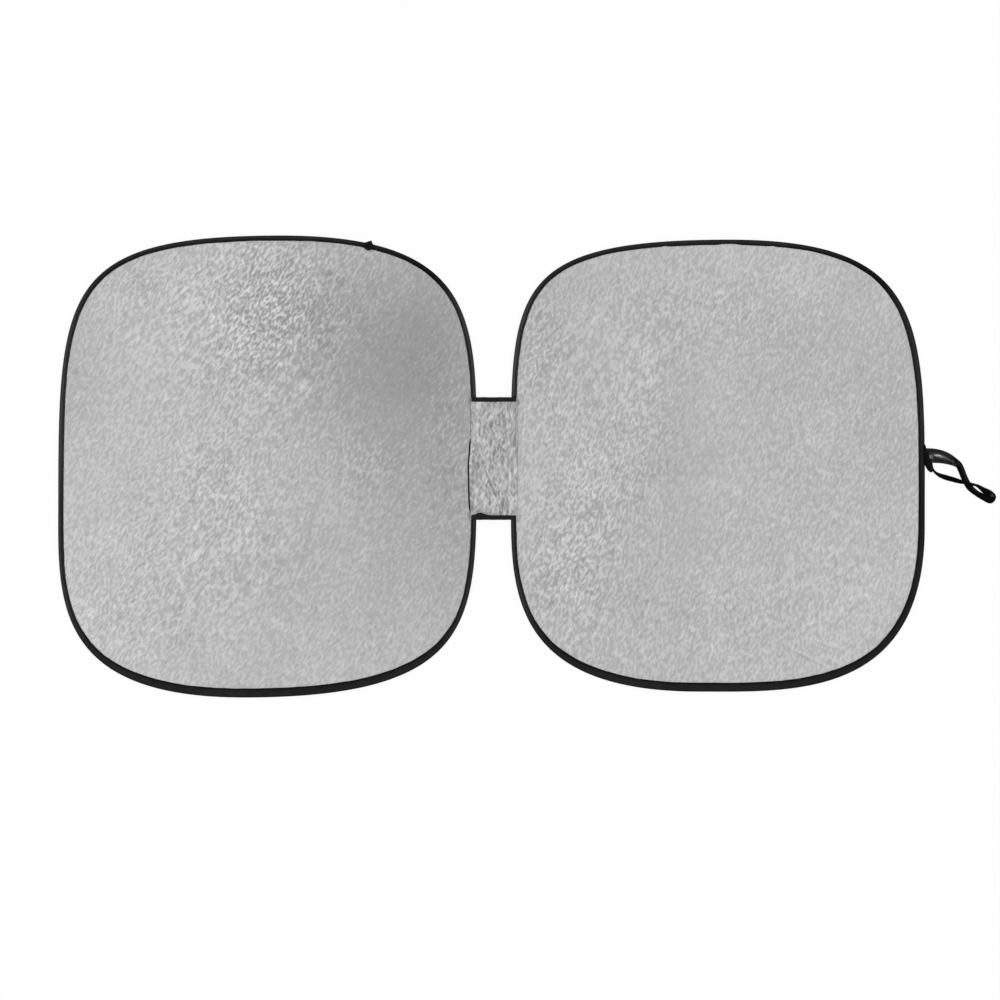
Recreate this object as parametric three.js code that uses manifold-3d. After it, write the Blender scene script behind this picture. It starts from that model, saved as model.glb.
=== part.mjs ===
// Folding windscreen sunshade, laid out flat, in millimetres with +Z up.
// Two rounded panels of silver cloth are each stretched in a sprung steel hoop that runs inside a folded
// black edge tape. A gathered strip of the same cloth joins the panels, and an elastic strap hangs at the
// right. The origin is the middle of the two panels' plan, on the surface that they lie on.

import Module from 'manifold-3d';
import * as THREE from 'three';
import { mergeVertices } from 'three/addons/utils/BufferGeometryUtils.js';

const wasm = await Module();
wasm.setup();

// Panels: each outline is the outer edge of the tape. It is four smooth quarters that meet square to the
// crown, the sides and the base, at points given from the panel's centre. A corner's two pulls say how far
// its curve reaches along each side before it turns: 1 is the corner of the box, 0 is a chamfer.
const BRIDGE_GAP = 58.3;
const RIGHT_PANEL_RISE = 1.5;
const LEFT_PANEL = {
  width: 711.7,
  height: 786,
  crownX: 24,
  baseX: -41,
  leftY: -59,
  rightY: 4,
  topLeft: { level: 0.98, upright: 0.8 },
  topRight: { level: 1.04, upright: 0.6 },
  bottomLeft: { level: 1.05, upright: 0.48 },
  bottomRight: { level: 1.03, upright: 0.65 },
};
const RIGHT_PANEL = {
  width: 704,
  height: 769,
  crownX: 19,
  baseX: -32,
  leftY: -40.5,
  rightY: -104.5,
  topLeft: { level: 1.05, upright: 0.78 },
  topRight: { level: 1.05, upright: 0.69 },
  bottomLeft: { level: 1.05, upright: 0.45 },
  bottomRight: { level: 0.41, upright: 1.05 },
};
const QUARTER_STEPS = 20;

// Cloth: one thickness throughout.
const CLOTH = 0.8;
const CLEARANCE = 0.3;

// Hoop: a flat spring band standing on edge in the tape, its ends butted inside a crimped sleeve.
const BAND_THICKNESS = 0.8;
const BAND_HEIGHT = 2.4;
const SLEEVE_FIT = 0.15;
const SLEEVE_WALL = 0.35;
const SLEEVE_LENGTH = 24;
const SLEEVE_PLAY = 0.25;

// Edge tape: folded round the hoop into a tunnel, then pinched flat on both faces of the cloth. It is
// pulled wide along the base, where the weight of the fold gathers it.
const TAPE = 0.8;
const TAPE_ROUNDING = 1;
const TUNNEL_TAPER = 1.4;
const SIDE_TAPE_WIDTH = 9;
const BASE_TAPE_WIDTH = 15.5;

// Tail: the left tape's cut end, laid over its start and left standing proud of the edge. Its point is set
// off from the middle of its length, and it is sunk a little into the rim so that the two are one.
const TAIL = {
  fromCrown: 149,
  length: 17,
  pointOffset: 3.6,
  proud: 6.5,
  shoulder: 9.4,
  lap: 12.5,
  sink: 0.4,
};

// Swells: shallow rises where the stretched cloth stands off its plane.
const SHEET_RINGS = [0.12, 0.3, 0.52, 0.76];
const LEFT_SWELLS = [
  { x: -190, y: 230, reach: 150, height: 4 },
  { x: 60, y: 90, reach: 120, height: -1.4 },
  { x: -60, y: -200, reach: 190, height: 3 },
  { x: 170, y: -60, reach: 130, height: 2.4 },
];
const RIGHT_SWELLS = [
  { x: -170, y: 190, reach: 160, height: 3.2 },
  { x: 30, y: 20, reach: 140, height: -1.4 },
  { x: 190, y: -190, reach: 150, height: 3.6 },
  { x: 160, y: 210, reach: 130, height: 2.2 },
];

// Bridge: the strip lies over both hoops, sags between them and stands in upright gathers.
const BRIDGE_TOP = 117.9;
const BRIDGE_BOTTOM = -90.8;
const BRIDGE_TAPE_WIDTH = 7.8;
const BRIDGE_ROWS = 14;
const BRIDGE_COLUMNS = 20;
const BRIDGE_SAG = 2.6;
const GATHER_DEPTH = 1.3;
const GATHER_PITCH = 12.5;
const GATHER_LEAN = 0.09;
const HEM_RUN_OUT = 24;
const HEM_STEPS = 16;
const SMALLEST_LAP = 1;
const LEFT_LAP = { widest: 4.5, at: -45, reach: 60 };
const RIGHT_LAP = { widest: 1.2, at: 40, reach: 90 };
const PUCKER = { x: -20.5, reach: 9, height: 4.5 };

// Strap: 25 mm flat elastic, sewn down at both ends and twisted into a figure of eight. The route is given
// from the right panel's edge, with the width of the elastic where it is flat or bunched together.
const STRAP_SECTION = 30;
const STRAP_THICKEST = 4.4;
const STRAP_EDGE_ROUNDING = 0.6;
const STRAP_STEPS = 60;
const STRAP_ROUTE = [
  { x: 0.7, y: 18.6, z: 3, width: 25.3 },
  { x: 8, y: 18.5, z: 1.6, width: 25.3 },
  { x: 15.3, y: 18.3, z: 0.8, width: 25 },
  { x: 29.5, y: 16.2, z: 0.8, width: 22.4 },
  { x: 41.7, y: 12.1, z: 0.9, width: 18.9 },
  { x: 50.7, y: 7.5, z: 1.2, width: 14.4 },
  { x: 57.6, y: 2.8, z: 1.4, width: 11.4 },
  { x: 61.8, y: -5.2, z: 1.6, width: 10.4 },
  { x: 66.2, y: -16.5, z: 1.8, width: 10.2 },
  { x: 71.2, y: -27.1, z: 1.8, width: 10.2 },
  { x: 77, y: -36, z: 1.8, width: 10 },
  { x: 88.5, y: -45.6, z: 1.8, width: 9.8 },
  { x: 102, y: -53, z: 1.6, width: 11.8 },
  { x: 111.8, y: -57, z: 1.9, width: 12 },
  { x: 115.6, y: -51.8, z: 3.6, width: 10.8 },
  { x: 110.2, y: -46.8, z: 5.6, width: 11.4 },
  { x: 100.4, y: -40.6, z: 6.2, width: 8.8 },
  { x: 88.5, y: -32.6, z: 6.4, width: 3.8 },
  { x: 80, y: -30.2, z: 7, width: 4.2 },
  { x: 71.5, y: -28.2, z: 7.2, width: 5.2 },
  { x: 63.2, y: -26.6, z: 6.8, width: 5.7 },
  { x: 47.5, y: -22, z: 4.6, width: 7.1 },
  { x: 34.6, y: -18.3, z: 2.8, width: 7.5 },
  { x: 25.4, y: -14.8, z: 2.6, width: 5.5 },
  { x: 19, y: -11, z: 2.5, width: 4 },
  { x: 14, y: -5.8, z: 2.6, width: 4 },
  { x: 9.6, y: 2.2, z: 5, width: 8 },
  { x: 7.2, y: 12.4, z: 6, width: 10 },
];

// Levels: heights above the surface that follow from the sizes above.
const TUNNEL_PLAY = SLEEVE_FIT + SLEEVE_WALL + SLEEVE_PLAY;
const TUNNEL_WIDTH = BAND_THICKNESS + 2 * TUNNEL_PLAY;
const TUNNEL_HEIGHT = BAND_HEIGHT + 2 * TUNNEL_PLAY;
const TUNNEL_END = TAPE + TUNNEL_WIDTH;
const SLOT_START = TUNNEL_END + TUNNEL_TAPER;
const SLOT_HEIGHT = CLOTH + 2 * CLEARANCE;
const RIM_TOP = TUNNEL_HEIGHT + 2 * TAPE;
const MID_HEIGHT = RIM_TOP / 2;
const CLOTH_EDGE = SLOT_START + CLEARANCE;
const BRIDGE_LEVEL = RIM_TOP + TAPE + 2 * CLEARANCE + CLOTH / 2;

const totalWidth = LEFT_PANEL.width + BRIDGE_GAP + RIGHT_PANEL.width;
const leftCentre = (LEFT_PANEL.width - totalWidth) / 2;
const rightCentre = (totalWidth - RIGHT_PANEL.width) / 2;
const bridgeCentre = leftCentre + (LEFT_PANEL.width + BRIDGE_GAP) / 2;

// Materials.
const silverCloth = { color: 0xb4b4b5, roughness: 0.42, metalness: 0.55 };
const blackTape = { color: 0x1c1c1d, roughness: 0.85, metalness: 0 };
const springSteel = { color: 0x8d9094, roughness: 0.35, metalness: 1 };
const crimpedSteel = { color: 0xa3a5a8, roughness: 0.45, metalness: 1 };
const blackElastic = { color: 0x101011, roughness: 0.5, metalness: 0 };

function mesh(name, geometry, finish) {
  const part = new THREE.Mesh(geometry, new THREE.MeshStandardMaterial(finish));
  part.name = name;
  return part;
}

// Smooth rise from 0 to 1 as a value goes from one limit to the other.
function ease(value, from, to) {
  const share = THREE.MathUtils.clamp((value - from) / (to - from), 0, 1);
  return share * share * (3 - 2 * share);
}

// Solid skinned over a row of rings of points. Each ring runs anticlockwise about the way the row goes.
// The row closes on itself, or each end is capped flat to the outline given for it.
function skin(rings, ends) {
  const count = rings[0].length;
  const bands = ends ? rings.length - 1 : rings.length;
  const faces = [];
  for (let j = 0; j < bands; j += 1) {
    const here = j * count;
    const next = ((j + 1) % rings.length) * count;
    for (let i = 0; i < count; i += 1) {
      const k = (i + 1) % count;
      faces.push(here + i, here + k, next + k);
      faces.push(here + i, next + k, next + i);
    }
  }
  if (ends) {
    const last = (rings.length - 1) * count;
    const [firstCap, lastCap] = ends.map((outline) => THREE.ShapeUtils.triangulateShape(outline, []));
    firstCap.forEach(([a, b, c]) => faces.push(c, b, a));
    lastCap.forEach(([a, b, c]) => faces.push(last + a, last + b, last + c));
  }
  const geometry = new THREE.BufferGeometry();
  geometry.setFromPoints(rings.flat());
  geometry.setIndex(faces);
  geometry.computeVertexNormals();
  return geometry;
}

// Panel outline

// One quarter of an outline, from one tangent point to the next round their shared box corner.
function quarter(from, pullFrom, to, pullTo, corner) {
  const control1 = from.clone().lerp(corner, pullFrom);
  const control2 = to.clone().lerp(corner, pullTo);
  return new THREE.CubicBezierCurve(from, control1, control2, to);
}

// Stations run anticlockwise from the crown. Each has its place on the outer edge and the way inward.
function outlineStations(panel) {
  const halfWidth = panel.width / 2;
  const halfHeight = panel.height / 2;
  const crown = new THREE.Vector2(panel.crownX, halfHeight);
  const left = new THREE.Vector2(-halfWidth, panel.leftY);
  const base = new THREE.Vector2(panel.baseX, -halfHeight);
  const right = new THREE.Vector2(halfWidth, panel.rightY);
  const corner = (x, y) => new THREE.Vector2(Math.sign(x) * halfWidth, Math.sign(y) * halfHeight);
  const { topLeft, topRight, bottomLeft, bottomRight } = panel;
  const quarters = [
    quarter(crown, topLeft.level, left, topLeft.upright, corner(-1, 1)),
    quarter(left, bottomLeft.upright, base, bottomLeft.level, corner(-1, -1)),
    quarter(base, bottomRight.level, right, bottomRight.upright, corner(1, -1)),
    quarter(right, topRight.upright, crown, topRight.level, corner(1, 1)),
  ];
  return quarters.flatMap((curve) => Array.from({ length: QUARTER_STEPS }, (_, step) => {
    const share = step / QUARTER_STEPS;
    const travel = curve.getTangentAt(share);
    return { edge: curve.getPointAt(share), inward: new THREE.Vector2(-travel.y, travel.x) };
  }));
}

// The point a given way in from the outer edge, at a given height.
function insetPoint(station, inset, height) {
  const place = station.edge.clone().addScaledVector(station.inward, inset);
  return new THREE.Vector3(place.x, place.y, height);
}

// The tape widens as the edge turns to face down, and is widest along the base.
function tapeWidth(station) {
  const facingDown = Math.max(0, station.inward.y);
  return THREE.MathUtils.lerp(SIDE_TAPE_WIDTH, BASE_TAPE_WIDTH, facingDown ** 2);
}

// Edge tape

// Section of the folded tape as inset and height, from the fold to its cut edges at the given width.
function tapeSection(width) {
  const leg = SLOT_HEIGHT / 2 + TAPE;
  const half = [
    [0, MID_HEIGHT - TAPE_ROUNDING],
    [TAPE_ROUNDING, MID_HEIGHT],
    [TUNNEL_END, MID_HEIGHT],
    [SLOT_START, leg],
    [width, leg],
    [width, SLOT_HEIGHT / 2],
    [SLOT_START, SLOT_HEIGHT / 2],
    [TUNNEL_END, TUNNEL_HEIGHT / 2],
    [TAPE, TUNNEL_HEIGHT / 2],
  ];
  const lower = half.map(([inset, rise]) => [inset, MID_HEIGHT - rise]);
  const upper = half.reverse().map(([inset, rise]) => [inset, MID_HEIGHT + rise]);
  return [...lower, ...upper];
}

function edgeTape(stations) {
  const ring = (station) => {
    const section = tapeSection(tapeWidth(station));
    return section.map(([inset, height]) => insetPoint(station, inset, height));
  };
  return skin(stations.map(ring));
}

// The station at a distance back along the edge from the crown.
function stationBeforeCrown(stations, distance) {
  let remaining = distance;
  let from = stations[0];
  for (const to of stations.slice().reverse()) {
    const step = from.edge.distanceTo(to.edge);
    if (step >= remaining) {
      const share = remaining / step;
      return {
        edge: from.edge.clone().lerp(to.edge, share),
        inward: from.inward.clone().lerp(to.inward, share).normalize(),
      };
    }
    remaining -= step;
    from = to;
  }
  return from;
}

// Flat pointed end of the tape, drawn along the edge and inward from it, then set on top of the rim.
function tapeTail(stations) {
  const { length, pointOffset, proud, shoulder, lap, sink } = TAIL;
  const outline = new THREE.Shape([
    new THREE.Vector2(-length / 2, TAPE_ROUNDING),
    new THREE.Vector2(-pointOffset, -proud),
    new THREE.Vector2(length / 2, TAPE_ROUNDING),
    new THREE.Vector2(length / 3, shoulder),
    new THREE.Vector2(0, lap),
    new THREE.Vector2(-length / 3, shoulder),
  ]);
  const flap = new THREE.ExtrudeGeometry(outline, { depth: TAPE + sink, bevelEnabled: false });
  const { edge, inward } = stationBeforeCrown(stations, TAIL.fromCrown);
  const along = new THREE.Vector3(inward.y, -inward.x, 0);
  const across = new THREE.Vector3(inward.x, inward.y, 0);
  const frame = new THREE.Matrix4().makeBasis(along, across, new THREE.Vector3(0, 0, 1));
  frame.setPosition(edge.x, edge.y, RIM_TOP - sink);
  return flap.applyMatrix4(frame);
}

// Both solids as one, sharing their merged vertices.
function fused(first, second) {
  const solids = [first, second].map((geometry) => {
    const bare = geometry.clone();
    bare.deleteAttribute('normal');
    bare.deleteAttribute('uv');
    const merged = mergeVertices(bare, 1e-4);
    return new wasm.Manifold(new wasm.Mesh({
      numProp: 3,
      vertProperties: new Float32Array(merged.attributes.position.array),
      triVerts: new Uint32Array(merged.index.array),
    }));
  });
  const joined = solids[0].add(solids[1]).getMesh();
  const geometry = new THREE.BufferGeometry();
  geometry.setAttribute('position', new THREE.BufferAttribute(joined.vertProperties, 3));
  geometry.setIndex(new THREE.BufferAttribute(joined.triVerts, 1));
  geometry.computeVertexNormals();
  return geometry;
}

// Hoop and sleeve

// The band stands on edge in the tunnel, as a spring hoop does, with play all round for the sleeve.
function springBand(stations) {
  const outer = TAPE + TUNNEL_PLAY;
  const inner = outer + BAND_THICKNESS;
  const low = MID_HEIGHT - BAND_HEIGHT / 2;
  const high = MID_HEIGHT + BAND_HEIGHT / 2;
  const corners = [[outer, low], [inner, low], [inner, high], [outer, high]];
  const ring = (station) => corners.map(([inset, height]) => insetPoint(station, inset, height));
  return skin(stations.map(ring));
}

// A strip rolled round the butted ends on the straight run beside the base, its seam facing out.
function crimpedSleeve(stations) {
  const innerX = BAND_THICKNESS / 2 + SLEEVE_FIT;
  const innerZ = BAND_HEIGHT / 2 + SLEEVE_FIT;
  const outerX = innerX + SLEEVE_WALL;
  const outerZ = innerZ + SLEEVE_WALL;
  const lowerHalf = [
    new THREE.Vector2(-innerX, -SLEEVE_FIT),
    new THREE.Vector2(-outerX, -SLEEVE_FIT),
    new THREE.Vector2(-outerX, -outerZ),
    new THREE.Vector2(outerX, -outerZ),
  ];
  const boreHalf = [
    new THREE.Vector2(innerX, -innerZ),
    new THREE.Vector2(-innerX, -innerZ),
  ];
  const raised = (points) => points.map(({ x, y }) => new THREE.Vector2(x, -y)).reverse();
  const outline = [...lowerHalf, ...raised(lowerHalf), ...raised(boreHalf), ...boreHalf];
  const bandInset = TAPE + TUNNEL_PLAY + BAND_THICKNESS / 2;
  const from = insetPoint(stations[2 * QUARTER_STEPS], bandInset, MID_HEIGHT);
  const to = insetPoint(stations[2 * QUARTER_STEPS + 1], bandInset, MID_HEIGHT);
  const middle = from.clone().lerp(to, 0.5);
  const travel = to.clone().sub(from).normalize();
  const inward = new THREE.Vector3(-travel.y, travel.x, 0);
  const rings = [-SLEEVE_LENGTH / 2, SLEEVE_LENGTH / 2].map((along) => outline.map((point) => (
    middle.clone().addScaledVector(travel, along).addScaledVector(inward, point.x).setZ(MID_HEIGHT + point.y)
  )));
  return skin(rings, [outline, outline]);
}

// Panel cloth

// How far the cloth stands off its plane, fading to nothing before it reaches the tape.
function swellHeight(place, swells, towardsCentre) {
  const rise = swells.reduce((sum, swell) => {
    const distance = Math.hypot(place.x - swell.x, place.y - swell.y) / swell.reach;
    return sum + swell.height * Math.exp(-distance * distance);
  }, 0);
  return rise * ease(towardsCentre, 0, SHEET_RINGS[1]);
}

// Rings from the middle out along the underside, round the edge in the tape and back over the top.
function panelCloth(stations, swells) {
  const hidden = stations.map((station) => insetPoint(station, CLOTH_EDGE, MID_HEIGHT));
  const lip = stations.map((station) => insetPoint(station, tapeWidth(station) + CLEARANCE, MID_HEIGHT));
  const open = SHEET_RINGS.map((share) => lip.map((point) => {
    const place = new THREE.Vector3(point.x * (1 - share), point.y * (1 - share), MID_HEIGHT);
    return place.setZ(MID_HEIGHT + swellHeight(place, swells, share));
  }));
  const surface = [hidden, lip, ...open];
  const offset = (ring, rise) => ring.map((point) => point.clone().setZ(point.z + rise));
  const rings = [
    ...surface.slice().reverse().map((ring) => offset(ring, -CLOTH / 2)),
    ...surface.map((ring) => offset(ring, CLOTH / 2)),
  ];
  const innermost = open[open.length - 1].map((point) => new THREE.Vector2(point.x, point.y));
  return skin(rings, [innermost, innermost]);
}

// Bridge

// Where a panel's outer edge crosses a height of the plan; side is 1 for its right edge, -1 for its left.
function edgeCrossing(stations, y, side) {
  const index = stations.findIndex(({ edge }, i) => {
    const next = stations[(i + 1) % stations.length].edge;
    return Math.sign(edge.x) === side && (edge.y - y) * (next.y - y) <= 0 && edge.y !== next.y;
  });
  const from = stations[index].edge;
  const to = stations[(index + 1) % stations.length].edge;
  return THREE.MathUtils.mapLinear(y, from.y, to.y, from.x, to.x);
}

// Heights of the strip's underside over one hoop, from its free edge in on the panel to the gap.
function overHoop(lap) {
  const onCloth = MID_HEIGHT + CLOTH / 2 + CLEARANCE;
  const onLegs = MID_HEIGHT + SLOT_HEIGHT / 2 + TAPE + CLEARANCE;
  const onRim = RIM_TOP + CLEARANCE;
  return [
    { inset: SIDE_TAPE_WIDTH + CLEARANCE + lap, height: onCloth },
    { inset: SIDE_TAPE_WIDTH + 2 * CLEARANCE, height: onLegs },
    { inset: SLOT_START + CLEARANCE, height: onLegs },
    { inset: TUNNEL_END + CLEARANCE, height: onRim },
    { inset: -CLEARANCE, height: onRim },
  ];
}

function lapAt(lap, y) {
  return SMALLEST_LAP + lap.widest * ease(Math.abs(y - lap.at), lap.reach, 0);
}

// The strip's cross-section at one height of the plan: places across it and its underside's heights.
function stripRow(leftStations, rightStations, y, hem) {
  const leftEdge = edgeCrossing(leftStations, y, 1) + leftCentre - bridgeCentre;
  const rightEdge = edgeCrossing(rightStations, y - RIGHT_PANEL_RISE, -1) + rightCentre - bridgeCentre;
  const overLeft = overHoop(lapAt(LEFT_LAP, y));
  const overRight = overHoop(lapAt(RIGHT_LAP, y));
  const onLeft = overLeft.map(({ inset, height }) => ({ x: leftEdge - inset, height }));
  const onRight = overRight.map(({ inset, height }) => ({ x: rightEdge + inset, height }));
  const first = onLeft[onLeft.length - 1];
  const last = onRight[onRight.length - 1];
  const between = Array.from({ length: BRIDGE_COLUMNS - 1 }, (_, i) => {
    const share = (i + 1) / BRIDGE_COLUMNS;
    const x = THREE.MathUtils.lerp(first.x, last.x, share);
    const gather = Math.sin((2 * Math.PI * (x + GATHER_LEAN * y)) / GATHER_PITCH);
    const slack = Math.sin(Math.PI * share);
    return { x, height: first.height + slack * (GATHER_DEPTH * gather - BRIDGE_SAG) };
  });
  const row = [...onLeft, ...between, ...onRight.reverse()];
  const hemHeight = BRIDGE_LEVEL - CLOTH / 2;
  return row.map(({ x, height }) => ({ x, height: THREE.MathUtils.lerp(height, hemHeight, hem) }));
}

function bridgeStrip(leftStations, rightStations) {
  const topLip = BRIDGE_TOP - BRIDGE_TAPE_WIDTH;
  const bottomLip = BRIDGE_BOTTOM + BRIDGE_TAPE_WIDTH + PUCKER.height;
  const flatTop = topLip - CLEARANCE;
  const flatBottom = bottomLip + CLEARANCE;
  const interior = Array.from({ length: BRIDGE_ROWS - 1 }, (_, i) => (
    THREE.MathUtils.lerp(flatBottom, flatTop, (i + 1) / BRIDGE_ROWS)
  ));
  const hemInset = TAPE + CLEARANCE;
  const levels = [BRIDGE_BOTTOM + hemInset, flatBottom, ...interior, flatTop, BRIDGE_TOP - hemInset];
  const rings = levels.map((y) => {
    const toHem = Math.min(y - flatBottom, flatTop - y);
    const row = stripRow(leftStations, rightStations, y, ease(toHem, HEM_RUN_OUT, 0));
    const under = row.map(({ x, height }) => new THREE.Vector3(x, y, height)).reverse();
    const over = row.map(({ x, height }) => new THREE.Vector3(x, y, height + CLOTH));
    return [...under, ...over];
  });
  const outline = (ring) => ring.map((point) => new THREE.Vector2(-point.x, point.z));
  return skin(rings, [outline(rings[0]), outline(rings[rings.length - 1])]);
}

// Section of a tape folded over one edge of the strip, as inset and height.
function hemSection(width) {
  const leg = SLOT_HEIGHT / 2 + TAPE;
  const half = [
    [0, leg - TAPE_ROUNDING],
    [TAPE_ROUNDING, leg],
    [width, leg],
    [width, SLOT_HEIGHT / 2],
    [TAPE, SLOT_HEIGHT / 2],
  ];
  const lower = half.map(([inset, rise]) => new THREE.Vector2(inset, BRIDGE_LEVEL - rise));
  const upper = half.reverse().map(([inset, rise]) => new THREE.Vector2(inset, BRIDGE_LEVEL + rise));
  return [...lower, ...upper];
}

// The tape runs from one hoop's tape to the other's. Inward is 1 where it faces up the plan.
function hemTape(level, inward, widthAt) {
  const reach = BRIDGE_GAP / 2 + SIDE_TAPE_WIDTH;
  const sections = Array.from({ length: HEM_STEPS + 1 }, (_, step) => {
    const x = inward * THREE.MathUtils.lerp(-reach, reach, step / HEM_STEPS);
    return { x, section: hemSection(widthAt(x)) };
  });
  const rings = sections.map(({ x, section }) => (
    section.map((point) => new THREE.Vector3(x, level + inward * point.x, point.y))
  ));
  return skin(rings, [sections[0].section, sections[HEM_STEPS].section]);
}

function puckeredWidth(x) {
  const offset = (x + bridgeCentre - PUCKER.x) / PUCKER.reach;
  return BRIDGE_TAPE_WIDTH + PUCKER.height * Math.exp(-offset * offset);
}

// Strap

// Eight-sided section of the elastic: flat where it is wide, and rounder where it is bunched.
function strapSection(width, thickness) {
  const halfWidth = width / 2;
  const halfThickness = thickness / 2;
  const rounding = halfThickness * STRAP_EDGE_ROUNDING;
  const corners = [
    [halfWidth, rounding - halfThickness],
    [halfWidth, halfThickness - rounding],
    [halfWidth - rounding, halfThickness],
    [rounding - halfWidth, halfThickness],
  ];
  const opposite = corners.map(([across, up]) => [-across, -up]);
  return [...corners, ...opposite].map(([across, up]) => new THREE.Vector2(across, up));
}

function strap() {
  const places = STRAP_ROUTE.map(({ x, y, z }) => new THREE.Vector3(x, y, z));
  const route = new THREE.CatmullRomCurve3(places);
  const widths = new THREE.SplineCurve(STRAP_ROUTE.map(({ width }, i) => new THREE.Vector2(i, width)));
  const up = new THREE.Vector3(0, 0, 1);
  const sections = [];
  const rings = Array.from({ length: STRAP_STEPS + 1 }, (_, step) => {
    const share = step / STRAP_STEPS;
    const width = widths.getPoint(share).y;
    const thickness = Math.min(STRAP_SECTION / width, STRAP_THICKEST);
    const travel = route.getTangent(share);
    const across = new THREE.Vector3().crossVectors(travel, up).normalize();
    const over = new THREE.Vector3().crossVectors(across, travel);
    const section = strapSection(width, thickness);
    sections.push(section);
    return section.map((point) => (
      route.getPoint(share).addScaledVector(across, -point.x).addScaledVector(over, point.y)
    ));
  });
  return skin(rings, [sections[0], sections[STRAP_STEPS]]);
}

// Assembly

const leftStations = outlineStations(LEFT_PANEL);
const rightStations = outlineStations(RIGHT_PANEL);

function panel(side, stations, tape, swells) {
  const group = new THREE.Group();
  group.add(
    mesh(`${side}_sheet`, panelCloth(stations, swells), silverCloth),
    mesh(`${side}_binding`, tape, blackTape),
    mesh(`${side}_hoop`, springBand(stations), springSteel),
    mesh(`${side}_ferrule`, crimpedSleeve(stations), crimpedSteel),
  );
  return group;
}

const left = panel('left', leftStations, fused(edgeTape(leftStations), tapeTail(leftStations)), LEFT_SWELLS);
left.position.set(leftCentre, 0, 0);

const right = panel('right', rightStations, edgeTape(rightStations), RIGHT_SWELLS);
right.position.set(rightCentre, RIGHT_PANEL_RISE, 0);

const bridge = new THREE.Group();
bridge.add(
  mesh('bridge_sheet', bridgeStrip(leftStations, rightStations), silverCloth),
  mesh('bridge_top_binding', hemTape(BRIDGE_TOP, -1, () => BRIDGE_TAPE_WIDTH), blackTape),
  mesh('bridge_bottom_binding', hemTape(BRIDGE_BOTTOM, 1, puckeredWidth), blackTape),
);
bridge.position.set(bridgeCentre, 0, 0);

const elastic = mesh('strap', strap(), blackElastic);
const strapEdge = edgeCrossing(rightStations, STRAP_ROUTE[0].y - RIGHT_PANEL_RISE, 1);
elastic.position.set(rightCentre + strapEdge, 0, 0);

const group = new THREE.Group();
group.add(left, right, bridge, elastic);

export default group;
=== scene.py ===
import math

import bpy
import numpy as np
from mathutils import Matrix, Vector


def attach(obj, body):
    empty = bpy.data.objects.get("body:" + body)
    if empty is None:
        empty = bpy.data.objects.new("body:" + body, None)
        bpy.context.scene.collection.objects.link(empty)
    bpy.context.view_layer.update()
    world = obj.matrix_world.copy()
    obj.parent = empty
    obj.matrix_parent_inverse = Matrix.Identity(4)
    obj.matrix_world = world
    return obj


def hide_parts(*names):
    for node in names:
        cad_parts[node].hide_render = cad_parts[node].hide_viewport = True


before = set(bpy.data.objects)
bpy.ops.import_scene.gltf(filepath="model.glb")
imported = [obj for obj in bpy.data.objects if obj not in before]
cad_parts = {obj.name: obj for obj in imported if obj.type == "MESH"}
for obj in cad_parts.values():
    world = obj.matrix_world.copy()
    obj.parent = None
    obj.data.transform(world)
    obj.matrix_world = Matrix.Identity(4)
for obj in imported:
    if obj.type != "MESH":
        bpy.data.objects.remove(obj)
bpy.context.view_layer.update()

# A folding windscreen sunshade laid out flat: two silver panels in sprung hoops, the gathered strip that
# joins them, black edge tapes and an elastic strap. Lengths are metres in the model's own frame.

scene = bpy.context.scene

MM = 0.001
CAMERA_HEIGHT = 6.0
VIEW_WIDTH = 1.7
VIEW_CENTRE = (0.01445, -0.05695)
SENSOR_WIDTH = 36

# Levels, from the panels' hoops and tapes.
MID = 2.75 * MM
CLOTH = 0.8 * MM
RIM_TOP = 5.5 * MM
HEM_LEVEL = 7.3 * MM


# Camera

def make_camera():
    data = bpy.data.cameras.new("camera")
    data.sensor_width = SENSOR_WIDTH
    data.lens = SENSOR_WIDTH * CAMERA_HEIGHT / VIEW_WIDTH
    data.clip_start = 0.1
    data.clip_end = 100
    camera = bpy.data.objects.new("camera", data)
    camera.location = (*VIEW_CENTRE, CAMERA_HEIGHT + RIM_TOP)
    scene.collection.objects.link(camera)
    scene.camera = camera


# Mesh helpers

def ease(value, low, high):
    share = np.clip((np.asarray(value, float) - low) / (high - low), 0, 1)
    return share * share * (3 - 2 * share)


def bell(distance):
    return np.exp(-np.square(distance))


def turned_out(data):
    """Turn a closed mesh's faces outward where they all face in."""
    data.calc_loop_triangles()
    corners = np.zeros(3 * len(data.loop_triangles), np.int64)
    data.loop_triangles.foreach_get("vertices", corners)
    points = np.zeros(3 * len(data.vertices))
    data.vertices.foreach_get("co", points)
    a, b, c = points.reshape(-1, 3)[corners.reshape(-1, 3)].transpose(1, 0, 2)
    if np.sum(a * np.cross(b, c)) < 0:
        data.flip_normals()


def make_piece(name, points, faces, finish, replaces=(), uv=None):
    data = bpy.data.meshes.new(name)
    data.from_pydata(np.asarray(points, float).tolist(), [], faces)
    data.update()
    if uv is not None:
        layer = data.uv_layers.new(name="along")
        corners = np.zeros(len(data.loops), np.int64)
        data.loops.foreach_get("vertex_index", corners)
        layer.data.foreach_set("uv", np.asarray(uv, np.float32)[corners].ravel())
    turned_out(data)
    data.polygons.foreach_set("use_smooth", [True] * len(data.polygons))
    data.materials.append(finish)
    piece = bpy.data.objects.new(name, data)
    scene.collection.objects.link(piece)
    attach(piece, "root")
    if replaces:
        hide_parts(*replaces)
    return piece


def add_values(piece, name, values):
    layer = piece.data.attributes.new(name, "FLOAT", "POINT")
    layer.data.foreach_set("value", np.asarray(values, np.float32))


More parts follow.
